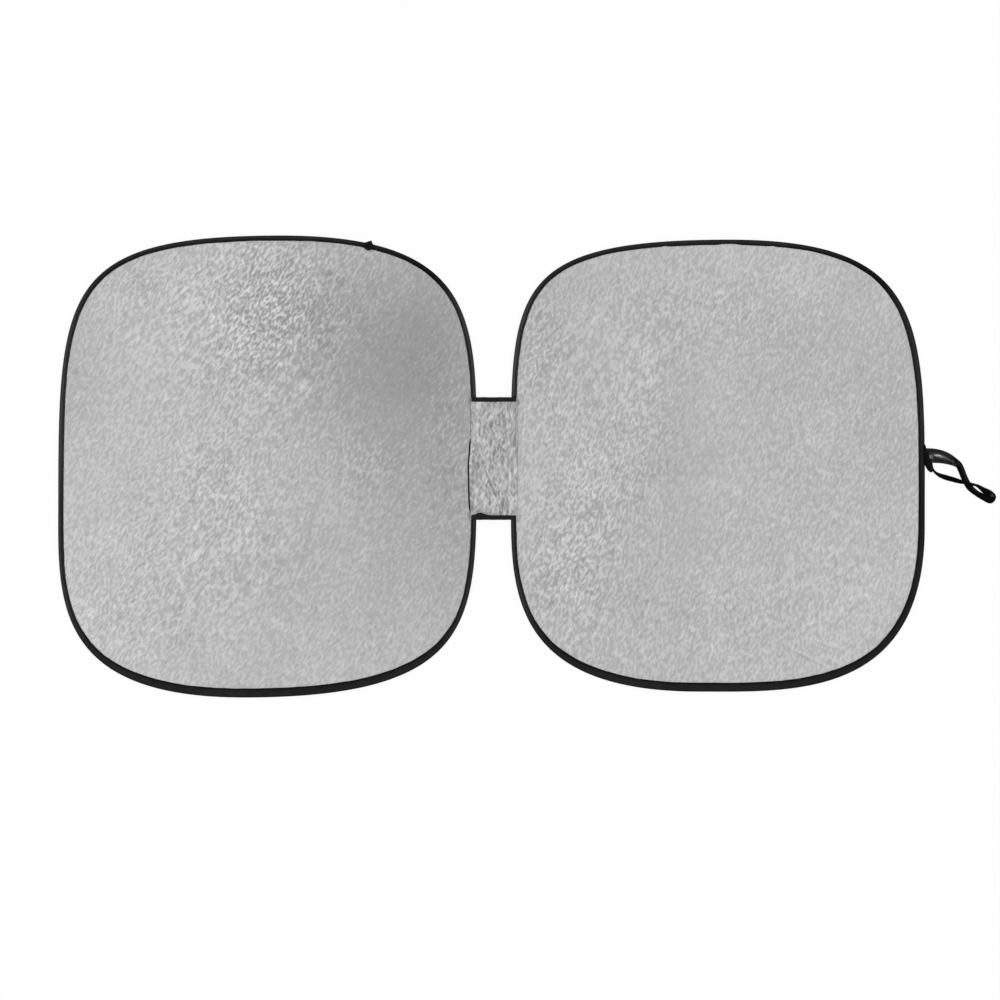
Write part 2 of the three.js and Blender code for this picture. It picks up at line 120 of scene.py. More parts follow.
def ring_faces(rings, sides, closed):
    """Quads over rows of rings, with a flat cap on each end of an open row."""
    faces = []
    for j in range(rings if closed else rings - 1):
        here, there = j * sides, (j + 1) % rings * sides
        for i in range(sides):
            k = (i + 1) % sides
            faces.append((here + i, here + k, there + k, there + i))
    if not closed:
        faces.append(tuple(reversed(range(sides))))
        faces.append(tuple(range((rings - 1) * sides, rings * sides)))
    return faces


def smooth_noise(count, pitch, seed, closed=True):
    """A smooth random run of values from -1 to 1, with a bump every pitch steps or so."""
    rng = np.random.default_rng(seed)
    knots = max(4, int(round(count / pitch)))
    values = rng.uniform(-1, 1, knots)
    values = np.append(values, values[0] if closed else rng.uniform(-1, 1))
    place = np.linspace(0, knots, count, endpoint=not closed)
    index = np.minimum(place.astype(int), knots - 1)
    share = place - index
    share = share * share * (3 - 2 * share)
    return values[index] * (1 - share) + values[index + 1] * share


def smoothed(values, window):
    """Values averaged over a bell-shaped window, an odd number of steps wide."""
    kernel = np.hanning(window)
    return np.convolve(np.pad(values, window // 2, mode="edge"), kernel / kernel.sum(), mode="valid")


def rounded_section(angle, across_power, rise_power):
    """A section between a circle and a square: its places across and its heights, from -1 to 1."""
    across = np.sign(np.cos(angle)) * np.abs(np.cos(angle)) ** across_power
    rise = np.sign(np.sin(angle)) * np.abs(np.sin(angle)) ** rise_power
    return across, rise


# Panels

CURVE_STEPS = 1200
QUARTER_STEPS = 400
EDGE_STEPS = 4 * QUARTER_STEPS
# How far above and below a panel's middle its upright sides reach.
SIDE_REACH = 0.2


class Panel:
    """A panel's outline: four smooth quarters, anticlockwise from the crown, as in the model's source."""

    def __init__(self, centre, size, crown_x, base_x, left_y, right_y, pulls):
        self.centre = np.array(centre, float)
        half = np.array(size, float) / 2
        self.half = half
        crown, base = np.array([crown_x, half[1]]), np.array([base_x, -half[1]])
        left, right = np.array([-half[0], left_y]), np.array([half[0], right_y])
        ends = [(crown, left), (left, base), (base, right), (right, crown)]
        corners = [(-1, 1), (-1, -1), (1, -1), (1, 1)]
        quarters = []
        for (start, end), corner, (first, second) in zip(ends, corners, pulls):
            corner = np.array(corner) * half
            t = np.linspace(0, 1, CURVE_STEPS + 1)[:, None]
            a, b = start + (corner - start) * first, end + (corner - end) * second
            curve = (1 - t) ** 3 * start + 3 * (1 - t) ** 2 * t * a + 3 * (1 - t) * t * t * b + t ** 3 * end
            run = np.append(0, np.cumsum(np.linalg.norm(np.diff(curve, axis=0), axis=1)))
            even = np.linspace(0, run[-1], QUARTER_STEPS + 1)
            quarters.append(np.stack([np.interp(even, run, curve[:, k]) for k in (0, 1)], 1)[:-1])
        self.edge = np.concatenate(quarters)
        travel = np.roll(self.edge, -1, 0) - np.roll(self.edge, 1, 0)
        travel /= np.linalg.norm(travel, axis=1)[:, None]
        self.inward = np.stack([-travel[:, 1], travel[:, 0]], 1)
        step = np.linalg.norm(np.roll(self.edge, -1, 0) - self.edge, axis=1)
        self.length = step.sum()
        self.run = np.append(0, np.cumsum(step))

    def at(self, share):
        """Edge points and ways inward at shares from 0 to 4, a quarter to each whole number."""
        place = np.asarray(share, float) * QUARTER_STEPS % EDGE_STEPS
        index = place.astype(int) % EDGE_STEPS
        rest = (place - index)[..., None]
        after = (index + 1) % EDGE_STEPS
        edge = self.edge[index] * (1 - rest) + self.edge[after] * rest
        inward = self.inward[index] * (1 - rest) + self.inward[after] * rest
        return edge, inward / np.linalg.norm(inward, axis=-1)[..., None]

    def share_at(self, distance):
        """The share that lies a distance along the edge from the crown."""
        return np.interp(distance, self.run, np.linspace(0, 4, EDGE_STEPS + 1))

    def side_x(self, y, side):
        """Where the right (1) or left (-1) edge crosses heights y of the model's plan."""
        index = np.where(np.sign(self.edge[:, 0]) == side)[0]
        index = index[np.abs(self.edge[index, 1]) < SIDE_REACH]
        order = index[np.argsort(self.edge[index, 1])]
        local = np.asarray(y, float) - self.centre[1]
        return np.interp(local, self.edge[order, 1], self.edge[order, 0]) + self.centre[0]


# The tape's width at the sides, and what the base adds, in millimetres.
TAPE_WIDTH = 9
TAPE_BASE_EXTRA = 6.5


def tape_width(inward):
    """The tape is widest where the edge faces down."""
    return (TAPE_WIDTH + TAPE_BASE_EXTRA * np.square(np.maximum(0, inward[..., 1]))) * MM


LEFT = Panel(
    (-381.15 * MM, 0), (711.7 * MM, 786 * MM), 24 * MM, -41 * MM, -59 * MM, 4 * MM,
    [(0.98, 0.8), (0.48, 1.05), (1.03, 0.65), (0.6, 1.04)],
)
RIGHT = Panel(
    (385 * MM, 1.5 * MM), (704 * MM, 769 * MM), 19 * MM, -32 * MM, -40.5 * MM, -104.5 * MM,
    [(1.05, 0.78), (0.45, 1.05), (0.41, 1.05), (0.69, 1.05)],
)

# Broad rises of each panel's cloth, as (x, y, reach, height) in millimetres from the panel's centre.
LEFT_SWELLS = [(-190, 230, 150, 4), (60, 90, 120, -1.4), (-60, -200, 190, 3), (170, -60, 130, 2.4)]
RIGHT_SWELLS = [(-170, 190, 160, 3.2), (30, 20, 140, -1.4), (190, -190, 150, 3.6), (160, 210, 130, 2.2)]

# How strong the pebbled relief is, as (x, y, reach x, reach y, strength) on top of an even part.
LEFT_RELIEF = [(5, 262, 125, 125, 1.25), (-80, -60, 110, 160, 0.5), (-240, -230, 120, 110, 0.3),
               (165, 10, 60, 50, 0.35), (310, 60, 40, 160, 0.35), (200, 150, 90, 90, -0.2),
               (-215, 300, 60, 60, 0.3)]
RIGHT_RELIEF = [(-235, -90, 70, 170, 0.65), (-125, 60, 60, 150, 0.4), (-300, 200, 50, 110, 0.5),
                (-60, 0, 45, 160, -0.2), (10, -260, 200, 90, 0.15), (-30, 260, 160, 70, 0.3),
                (200, -20, 140, 200, 0.08), (-290, -190, 60, 90, 0.3)]
EVEN_RELIEF = 0.58
# Which way the relief leans, in degrees: an even part, and changes as (x, y, reach x, reach y, degrees).
LEFT_LEAN = (62, [(0, 270, 140, 110, -9), (40, -20, 120, 150, 8)])
RIGHT_LEAN = (66, [(-150, 40, 90, 150, 20), (-240, -160, 90, 90, -14)])
# Flecks in millimetres, one to each area of so many square millimetres.
FLECK_AREA = 16
FLECK_LENGTH = (2.2, 4.4)
FLECK_WIDTH = (1.2, 1.5)
FLECK_HEIGHT = 0.13
LEAN_SPREAD = 20
# How far a fleck is followed, in its own lengths.
FLECK_REACH = 2.6
# How much the relief's height, creases included, lightens the cloth where it rises and darkens it where it
# dips: painted light and shade of the relief.
FLECK_PAINTED_SHADE = 0.55

# Long creases, as (x, y, angle, half length, half width, height) in millimetres from the panel's centre.
RIGHT_CREASES = [
    (160, -328, -27, 34, 1.6, 0.9), (157, -270, 16, 16, 1.5, 0.4), (-332.5, 69, 86.3, 56, 1.5, -0.6),
    (175, -300, -20, 22, 2.0, 0.4),
]
LEFT_CREASES = [(-140, 300, 40, 20, 2.0, 0.4), (-20, 175, 58, 16, 2.2, 0.5)]
# Each crease has its opposite beside it, so many millimetres away.
CREASE_PITCH = 2.6

# Painted light and shade on each panel's cloth: how much lighter or darker each place is painted, as (x, y,
# reach x, reach y, share).
LEFT_PAINTED_SHADING = [(236, 168, 150, 215, -0.27), (-130, 260, 110, 90, 0.04), (-330, 150, 60, 130, -0.09),
              (319, -95, 45, 170, -0.09), (90, 240, 50, 80, -0.05), (290, 250, 70, 70, -0.05),
              (-216, 317, 50, 50, -0.02), (240, -150, 60, 110, -0.05), (90, -200, 190, 110, -0.04),
              (128, 164, 60, 50, -0.04)]
RIGHT_PAINTED_SHADING = [(-65, 0, 50, 190, -0.08), (-300, 220, 60, 90, -0.05), (300, 100, 140, 260, -0.09),
               (126, 203, 140, 70, -0.045), (-145, -105, 50, 140, -0.03), (-218, 317, 50, 50, -0.04),
               (60, 70, 80, 110, -0.04), (80, -130, 60, 90, -0.03), (-140, -260, 110, 70, -0.03)]


def blobs(x, y, fields):
    total = np.zeros_like(x)
    for cx, cy, reach_x, reach_y, strength in fields:
        total += strength * bell(np.hypot((x / MM - cx) / reach_x, (y / MM - cy) / reach_y))
    return total


def swell(x, y, swells):
    return MM * blobs(x, y, [(cx, cy, reach, reach, height) for cx, cy, reach, height in swells])


class Relief:
    """Pebbled relief of the pressed cloth on a millimetre grid: short ridges and dents that lean alike."""

    def __init__(self, panel, fields, leans, creases, seed):
        rng = np.random.default_rng(seed)
        self.low = -panel.half - 0.01
        size = (2 * panel.half / MM + 21).astype(int)
        self.height = np.zeros((size[1], size[0]))
        count = int(size[0] * size[1] / FLECK_AREA)
        x = rng.uniform(0, size[0], count)
        y = rng.uniform(0, size[1], count)
        local_x, local_y = x * MM + self.low[0], y * MM + self.low[1]
        strength = EVEN_RELIEF + blobs(local_x, local_y, fields)
        lean = np.radians(leans[0] + blobs(local_x, local_y, leans[1]) + rng.normal(0, LEAN_SPREAD, count))
        length = rng.uniform(*FLECK_LENGTH, count) * (0.8 + 0.2 * strength)
        width = rng.uniform(*FLECK_WIDTH, count)
        height = rng.normal(0, FLECK_HEIGHT, count) * strength
        for values in zip(x, y, lean, length, width, height):
            self.add(*values)
        for cx, cy, angle, long, wide, rise in creases:
            px = (cx * MM - self.low[0]) / MM
            py = (cy * MM - self.low[1]) / MM
            across = math.radians(angle - 90)
            for aside, level in ((0, rise), (CREASE_PITCH, -rise)):
                place = px + aside * math.cos(across), py + aside * math.sin(across)
                self.add(*place, math.radians(angle), long / 1.5, wide / 1.5, level)

    def add(self, x, y, lean, length, width, height):
        reach = FLECK_REACH * max(length, width)
        c0, c1 = max(0, int(x - reach)), min(self.height.shape[1], int(x + reach) + 2)
        r0, r1 = max(0, int(y - reach)), min(self.height.shape[0], int(y + reach) + 2)
        if c0 >= c1 or r0 >= r1:
            return
        dx = np.arange(c0, c1)[None, :] - x
        dy = np.arange(r0, r1)[:, None] - y
        along = (dx * math.cos(lean) + dy * math.sin(lean)) / length
        across = (dy * math.cos(lean) - dx * math.sin(lean)) / width
        self.height[r0:r1, c0:c1] += height * np.exp(-0.5 * (along * along + across * across))

    def at(self, x, y):
        u = np.clip((x - self.low[0]) / MM, 0, self.height.shape[1] - 1.001)
        v = np.clip((y - self.low[1]) / MM, 0, self.height.shape[0] - 1.001)
        i, j = u.astype(int), v.astype(int)
        a, b = u - i, v - j
        h = self.height
        low = h[j, i] * (1 - a) + h[j, i + 1] * a
        high = h[j + 1, i] * (1 - a) + h[j + 1, i + 1] * a
        return MM * (low * (1 - b) + high * b)


CLOTH_EDGE = 4.8 * MM
SHEET_RINGS = 154
BACK_RATIO = 7
# Shares of the way in from the rim over which the relief and the swells grow to their full height.
RELIEF_START = (0.012, 0.05)
SWELL_START = (0, 0.3)
# How far a place's painted shading shifts the pebble's own tone: it moves the pebble's threshold, and with it
# the pebble's bump and painted shade.
TONE_BIAS = 0.4


def square_grid(panel, rings):
    """A panel's points on nested squares, how far in from the rim each is, and the rim's points in order."""
    steps = np.arange(-rings, rings + 1)
    gx, gy = (g.ravel().astype(float) for g in np.meshgrid(steps, steps))
    ring = np.maximum(np.abs(gx), np.abs(gy))
    safe = np.where(ring == 0, 1, ring)
    x, y = gx / safe, gy / safe
    walk = np.select(
        [(y >= 1) & (x <= 0), x <= -1, y <= -1, x >= 1, y >= 1],
        [-x, 2 - y, 4 + x, 6 + y, 8 - x], 0.0,
    )
    edge, inward = panel.at(walk / 2 % 4)
    share = (ring / rings)[:, None]
    rim = edge + inward * CLOTH_EDGE
    order = np.where(ring == rings)[0]
    order = order[np.argsort(walk[order] % 8)]
    return rim * share, 1 - share[:, 0], order


def grid_faces(rings, offset=0, flip=False):
    wide = 2 * rings + 1
    faces = []
    for j in range(2 * rings):
        for i in range(2 * rings):
            a = offset + j * wide + i
            quad = (a, a + 1, a + wide + 1, a + wide)
            faces.append(quad[::-1] if flip else quad)
    return faces


def panel_cloth(side, panel, swells, relief, fields, tones, finish):
    """The panel's cloth: a pebbled upper face and a plainer back, joined round the rim inside the tape."""
    top, inside, top_rim = square_grid(panel, SHEET_RINGS)
    coarse = SHEET_RINGS // BACK_RATIO
    back, back_inside, back_rim = square_grid(panel, coarse)
    x, y = top[:, 0], top[:, 1]
    edge_room = ease(inside, *RELIEF_START)
    rise = swell(x, y, swells) * ease(inside, *SWELL_START)
    pebble = relief.at(x, y) * edge_room
    height = MID + CLOTH / 2 + rise + pebble
    back_rise = swell(back[:, 0], back[:, 1], swells) * ease(back_inside, *SWELL_START)
    upper = np.column_stack([top + panel.centre, height])
    lower = np.column_stack([back + panel.centre, MID - CLOTH / 2 + back_rise])
    faces = grid_faces(SHEET_RINGS)
    first = len(upper)
    faces += grid_faces(coarse, first, flip=True)
    around = len(back_rim)
    for k in range(around):
        here, there = first + back_rim[k], first + back_rim[(k + 1) % around]
        fine = [top_rim[(k * BACK_RATIO + i) % len(top_rim)] for i in range(BACK_RATIO + 1)]
        half = BACK_RATIO // 2 + 1
        for i in range(BACK_RATIO):
            near = here if i < half else there
            faces.append((int(fine[i + 1]), int(fine[i]), int(near)))
            if i == half - 1:
                faces.append((int(fine[i + 1]), int(here), int(there)))
    piece = make_piece(
        f"{side}_cloth", np.vstack([upper, lower]), faces, finish, [f"{side}_sheet"]
    )
    strength = EVEN_RELIEF + blobs(x, y, fields)
    # Painted light and shade: the broad painted shading times the relief's painted fleck shade goes to the
    # material in the tone attribute.
    painted_shading = 1 + blobs(x, y, tones)
    fleck = 1 + FLECK_PAINTED_SHADE * np.clip(pebble / MM, -0.3, 0.3)
    add_values(piece, "relief", np.append(strength, np.full(len(lower), 0.5)))
    add_values(piece, "tone", np.append(painted_shading * fleck, np.ones(len(lower))))
    add_values(piece, "bias", np.append(TONE_BIAS * (painted_shading - 1), np.zeros(len(lower))))
    rim = upper[top_rim][:, :2]
    area = 0.5 * abs(np.sum(rim[:, 0] * np.roll(rim[:, 1], -1) - rim[:, 1] * np.roll(rim[:, 0], -1)))
    return piece, float(area)


# Edge tape

TAPE_STATIONS = 720
THREAD_INSET = 2.7 * MM
# Where the right tape's upper lip is narrower, as (x, depth, reach) in millimetres.
NICKS = [(295, 1.3, 4), (405, 1.9, 17), (479, 1.2, 5)]


def tape_profile(width):
    """Section of the folded tape as insets and heights in millimetres, round its outside and back inside."""
    w = width / MM
    wide = float(ease(w, 11, 14))
    outside = [
        (w, 3.5), (w - 0.05, 4.0), (w - 0.5, 4.28), (w - 1.5, 4.3 + 0.1 * wide), (w - 2.7, 3.98),
        (w - 4.0, 4.28 + 0.2 * wide), (w - 5.0 + 0.9 * (1 - wide), 4.4 + 0.42 * wide),
        (4.9 + 0.26 * max(0, w - 9.5), 4.42 + 0.05 * wide), (4.1, 4.72), (3.3, 5.14), (2.4, 5.42), (1.6, 5.5),
        (0.9, 5.3), (0.4, 4.8), (0.1, 3.9), (0, 2.75),
    ]
    under = [(inset, 5.5 - height) for inset, height in outside[-2::-1]]
    under = [(inset, max(0.0, height)) for inset, height in under]
    inner = [(w - 0.06, 2.12), (4.6, 2.1), (3.2, 1.0), (0.85, 0.9), (0.8, 2.75), (0.85, 4.6), (3.2, 4.5),
             (4.6, 3.4), (w - 0.06, 3.38)]
    return outside + under + inner


# Painted light and shade across the tape's outer face, from its inner lip to its outer edge: a painted
# highlight along the rounded rim, painted shade at the inner lip and the outer edge.
TAPE_PAINTED_LIGHT_ACROSS = [0.4, 0.4, 0.6, 0.9, 0.6, 1.3, 1.5, 1.6, 1.7, 1.7, 1.6, 1.3, 0.9, 0.6, 0.5, 0.5]


def tape_painted_light(y, inward, sides, seed, right_side_shade):
    """Painted light and shade on the tape: palest high up the upright sides, darkest round the upper right
    corner, darker by the given share along the panel's right side, and randomly uneven along it.
    """
    upright = 0.68 + 0.65 * ease(np.abs(inward[:, 0]), 0.75, 1) - right_side_shade * ease(-inward[:, 0], 0.75, 1)
    corner = bell((np.degrees(np.arctan2(-inward[:, 1], -inward[:, 0])) - 52) / 20)
    high = 0.82 + 0.36 * ease(y, -90 * MM, 40 * MM)
    along = upright * high * (1 - 0.6 * corner) * (1 + 0.15 * smooth_noise(len(inward), 25, seed))
    across = np.array(TAPE_PAINTED_LIGHT_ACROSS + [0.6] * (sides - len(TAPE_PAINTED_LIGHT_ACROSS)))
    return (along[:, None] * across[None, :]).ravel()


def tape_extra(side, y, inward):
    """Where the tape is broader: beside the strip on the left panel, where a dark sliver of it stands in for
    the shadow under the strip's free edge, and along the strap's side on the right.
    """
    if side == "left":
        beside = ease(y, -84 * MM, -70 * MM) * (1 - ease(y, 40 * MM, 52 * MM))
        broader = LEFT.side_x(y, 1) - left_free_edge(y) + (SHADOW_SLIVER - TAPE_WIDTH) * MM
        return (inward[:, 0] < -0.9) * beside * broader
    return 1.9 * MM * ease(-inward[:, 0], 0.6, 1)


def edge_tape(side, panel, seed, finish, nicks=()):
    share = np.linspace(0, 4, TAPE_STATIONS, endpoint=False)
    edge, inward = panel.at(share)
    width = tape_width(inward)
    ragged = smooth_noise(TAPE_STATIONS, 5, seed) * 0.28 + smooth_noise(TAPE_STATIONS, 17, seed + 1) * 0.32
    width = width + ragged * MM + tape_extra(side, edge[:, 1] + panel.centre[1], inward)
    world_x = edge[:, 0] + panel.centre[0]
    on_top = inward[:, 1] < -0.9
    for place, depth, reach in nicks:
        width = width - on_top * depth * MM * np.exp(-np.abs((world_x / MM - place) / reach) ** 4)
    bulge = smooth_noise(TAPE_STATIONS, 9, seed + 2) * 0.12 + smooth_noise(TAPE_STATIONS, 40, seed + 3) * 0.12
    drift = smooth_noise(TAPE_STATIONS, 30, seed + 4) * 0.35
    points = []
    for j in range(TAPE_STATIONS):
        section = np.array(tape_profile(width[j]))
        lift = bulge[j] * ease(section[:, 1], 3.9, 4.6)
        shifted = section[:, 0] + drift[j] * bell((section[:, 0] - width[j] / MM + 4.5) / 1.5)
        flat = edge[j] + panel.centre + inward[j] * (shifted * MM)[:, None]
        points.append(np.column_stack([flat, (section[:, 1] + lift) * MM]))
    sides = len(points[0])
    run = np.linspace(0, panel.length, TAPE_STATIONS, endpoint=False)
    across = np.arange(sides) / sides
    uv = np.stack([np.repeat(run, sides), np.tile(across * 0.03, TAPE_STATIONS)], 1)
    piece = make_piece(
        f"{side}_tape", np.concatenate(points), ring_faces(TAPE_STATIONS, sides, True), finish,
        [f"{side}_binding"], uv=uv,
    )
    add_values(piece, "tone", tape_painted_light(edge[:, 1], inward, sides, seed + 5, 0.7 * (side == "right")))
    return piece, width


STITCH_PITCH = 4.4 * MM
STITCH_LENGTH = 3.1 * MM
STITCH_LEVEL = 4.12 * MM
# How far back from the crown, along the edge, the left tape's cut end stands.
TAIL_BACK = 149 * MM


def stitch_row(name, places, travels, radius, finish):
    """A row of lockstitches: short rounded lengths of thread that dive into the tape at both ends."""
    sides, rings = 6, 5
    along = np.array([-0.5, -0.3, 0, 0.3, 0.5]) * STITCH_LENGTH
    sink = np.array([-0.9, -0.15, 0.15, -0.15, -0.9]) * radius
    girth = np.array([0.5, 0.95, 1.0, 0.95, 0.5]) * radius
    angle = np.arange(sides) * 2 * math.pi / sides
    up = np.array([0, 0, 1.0])
    points, faces = [], []
    pattern = ring_faces(rings, sides, False)
    for index, (place, travel) in enumerate(zip(places, travels)):
        across = np.cross(travel, up)
        for a, s, g in zip(along, sink, girth):
            centre = place + travel * a + up * s
            points.append(centre + g * (np.cos(angle)[:, None] * across + np.sin(angle)[:, None] * up))
        faces += [tuple(i + index * sides * rings for i in face) for face in pattern]
    return make_piece(name, np.concatenate(points), faces, finish)


def panel_stitches(side, panel, width, finish):
    count = int(panel.length / STITCH_PITCH)
    share = panel.share_at(np.arange(count) * panel.length / count)
    edge, inward = panel.at(share)
    index = (share / 4 * TAPE_STATIONS).astype(int) % TAPE_STATIONS
    inset = width[index] - THREAD_INSET
    flat = edge + panel.centre + inward * inset[:, None]
    places = np.column_stack([flat, np.full(count, STITCH_LEVEL)])
    travels = np.column_stack([inward[:, 1], -inward[:, 0], np.zeros(count)])
    return stitch_row(f"{side}_stitches", places, travels, 0.24 * MM, finish)


def tape_tail(finish):
    """The left tape's cut end: a stiff little point that stands proud of the edge, curled up a little."""
    share = LEFT.share_at(LEFT.length - TAIL_BACK)
    edge, inward = LEFT.at(np.array([share]))
    edge, inward = edge[0] + LEFT.centre, inward[0]
    along = np.array([inward[1], -inward[0]])
    outline = [(-7.9, 1.0), (-5.4, -0.3), (-2.9, -1.7), (-0.3, -3.4), (2.0, -4.7), (3.4, -5.6), (4.3, -5.4),
               (5.1, -3.8), (6.2, -1.7), (7.8, -0.3), (10.1, 1.0), (11.1, 4.0), (9.1, 8.0), (6.1, 10.6),
               (2.6, 12.0), (-0.9, 12.1), (-3.9, 10.6), (-6.2, 7.4), (-7.6, 4.0)]
    centre = np.mean(outline, 0)
    points = []
    for scale, level in ((1, 5.3), (1, 5.95), (0.94, 6.2), (0.6, 6.28)):
        for a, b in outline:
            a, b = centre + (np.array([a, b]) - centre) * scale
            curl = 0.5 * float(ease(-b, 0, 6))
            flat = edge - along * a * MM + inward * b * MM
            points.append((*flat, (level + curl - 0.1 * max(0, b - 6)) * MM))
    sides = len(outline)
    faces = ring_faces(4, sides, False)
    piece = make_piece("left_tape_tail", points, faces, finish)
    add_values(piece, "tone", np.full(len(points), 0.5))


# Bridge

BRIDGE_X = 3.85 * MM
BRIDGE_HIGH = 117.9 * MM
BRIDGE_LOW = -90.8 * MM
HEM_WIDTH = 7.8 * MM
HEM_REACH = 38.15 * MM
PUCKER_X = -18.9 * MM
# Painted shade: the gathered strip's cloth is painted darker all over than the panels'.
BRIDGE_PAINTED_SHADE = 0.86
# Long upright folds of the strip, as (x, y, half length, half width, height) in millimetres.
BRIDGE_RIDGES = [(-23.5, 72, 40, 1.2, 0.4), (31.4, -40, 48, 1.3, 0.6), (40.5, 66, 44, 1.1, -0.5),
                 (26, -78, 16, 1.2, -0.7)]
# Where the strip's left free edge runs, as (y, x) in millimetres; a dark sliver of tape shows beside it in
# place of the shadow under that edge.
FREE_EDGE = [(-90, -35.2), (-75.3, -35.7), (-58, -36.5), (-34.5, -37.2), (-10.9, -37.6), (4.9, -38.1),
             (28.4, -35.8), (47.3, -35.0), (120, -35.0)]
SHADOW_SLIVER = 2.6
BRIDGE_COLUMNS = 128
BRIDGE_ROWS = 250
BRIDGE_CLOTH = 0.45 * MM
FOLD_SEED = 11


def left_free_edge(y):
    table = np.array(FREE_EDGE)
    return np.interp(y / MM, table[:, 0], table[:, 1]) * MM


def right_lap(y):
    return (1 + 1.2 * (1 - ease(np.abs(y / MM - 40), 0, 90))) * MM


def bridge_profile(share, gap_left, gap_right, free_left, lap_r):
    """Places across the strip and its heights, from its left free edge over both hoops to its right one."""
    nodes_x = np.array([
        free_left, gap_left - 9.0 * MM, gap_left - 6.4 * MM, gap_left - 4.6 * MM,
        gap_left - 3.2 * MM, gap_left - 1.6 * MM, gap_left + 0.6 * MM, gap_left + 6 * MM,
        (gap_left + gap_right) / 2,
        gap_right - 6 * MM, gap_right - 0.6 * MM, gap_right + 1.6 * MM, gap_right + 3.2 * MM,
        gap_right + 4.6 * MM, gap_right + 6.4 * MM, gap_right + 9.0 * MM, gap_right + 9.3 * MM + lap_r,
    ])
    nodes_z = MM * np.array([
        4.4, 4.9, 5.1, 5.3, 6.1, 6.5, 6.2, 5.0, 4.4, 5.0, 6.2, 6.5, 6.1, 5.3, 5.1, 4.8, 4.3,
    ])
    x = nodes_x[0] + (nodes_x[-1] - nodes_x[0]) * share
    fine = np.linspace(nodes_x[0], nodes_x[-1], 400)
    heights = smoothed(np.interp(fine, nodes_x, nodes_z), 17)
    return x, np.interp(x, fine, heights)


def bridge_folds(x, y, seed):
    """Crumpled upright gathers: long narrow ridges of many sizes, with one slanting crease."""
    rng = np.random.default_rng(seed)
    height = np.zeros_like(x)
    for count, longs, wides, lean_spread, strength in (
        (30, (14, 40), (1.6, 3.0), 0.08, 0.16), (2100, (2.4, 6.5), (1.0, 1.5), 0.38, 0.2),
    ):
        for _ in range(count):
            cx, cy = rng.uniform(-0.044, 0.048), rng.uniform(BRIDGE_LOW, BRIDGE_HIGH)
            long, wide = rng.uniform(*longs) * MM, rng.uniform(*wides) * MM
            lean, rise = rng.normal(0.08, lean_spread), rng.normal(0, strength) * MM
            near = np.abs(y[:, 0] - cy) < 2.6 * long
            across = (x[near] - cx - lean * (y[near] - cy)) / wide
            height[near] += rise * np.exp(-across ** 2 - ((y[near] - cy) / long) ** 2)
    for cx, cy, long, wide, rise in BRIDGE_RIDGES:
        height += rise * MM * np.exp(-((x / MM - cx) / wide) ** 2 - ((y / MM - cy) / long) ** 4)
    cx, cy = -0.8 * MM, -40 * MM
    slope = math.radians(-66)
    along = (x - cx) * math.cos(slope) + (y - cy) * math.sin(slope)
    across = (y - cy) * math.cos(slope) - (x - cx) * math.sin(slope)
    height += 0.8 * MM * np.exp(-(across / (1.7 * MM)) ** 2 - (along / (17 * MM)) ** 2)
    height -= 0.8 * MM * np.exp(-((across - 3 * MM) / (1.7 * MM)) ** 2 - (along / (17 * MM)) ** 2)
    return height


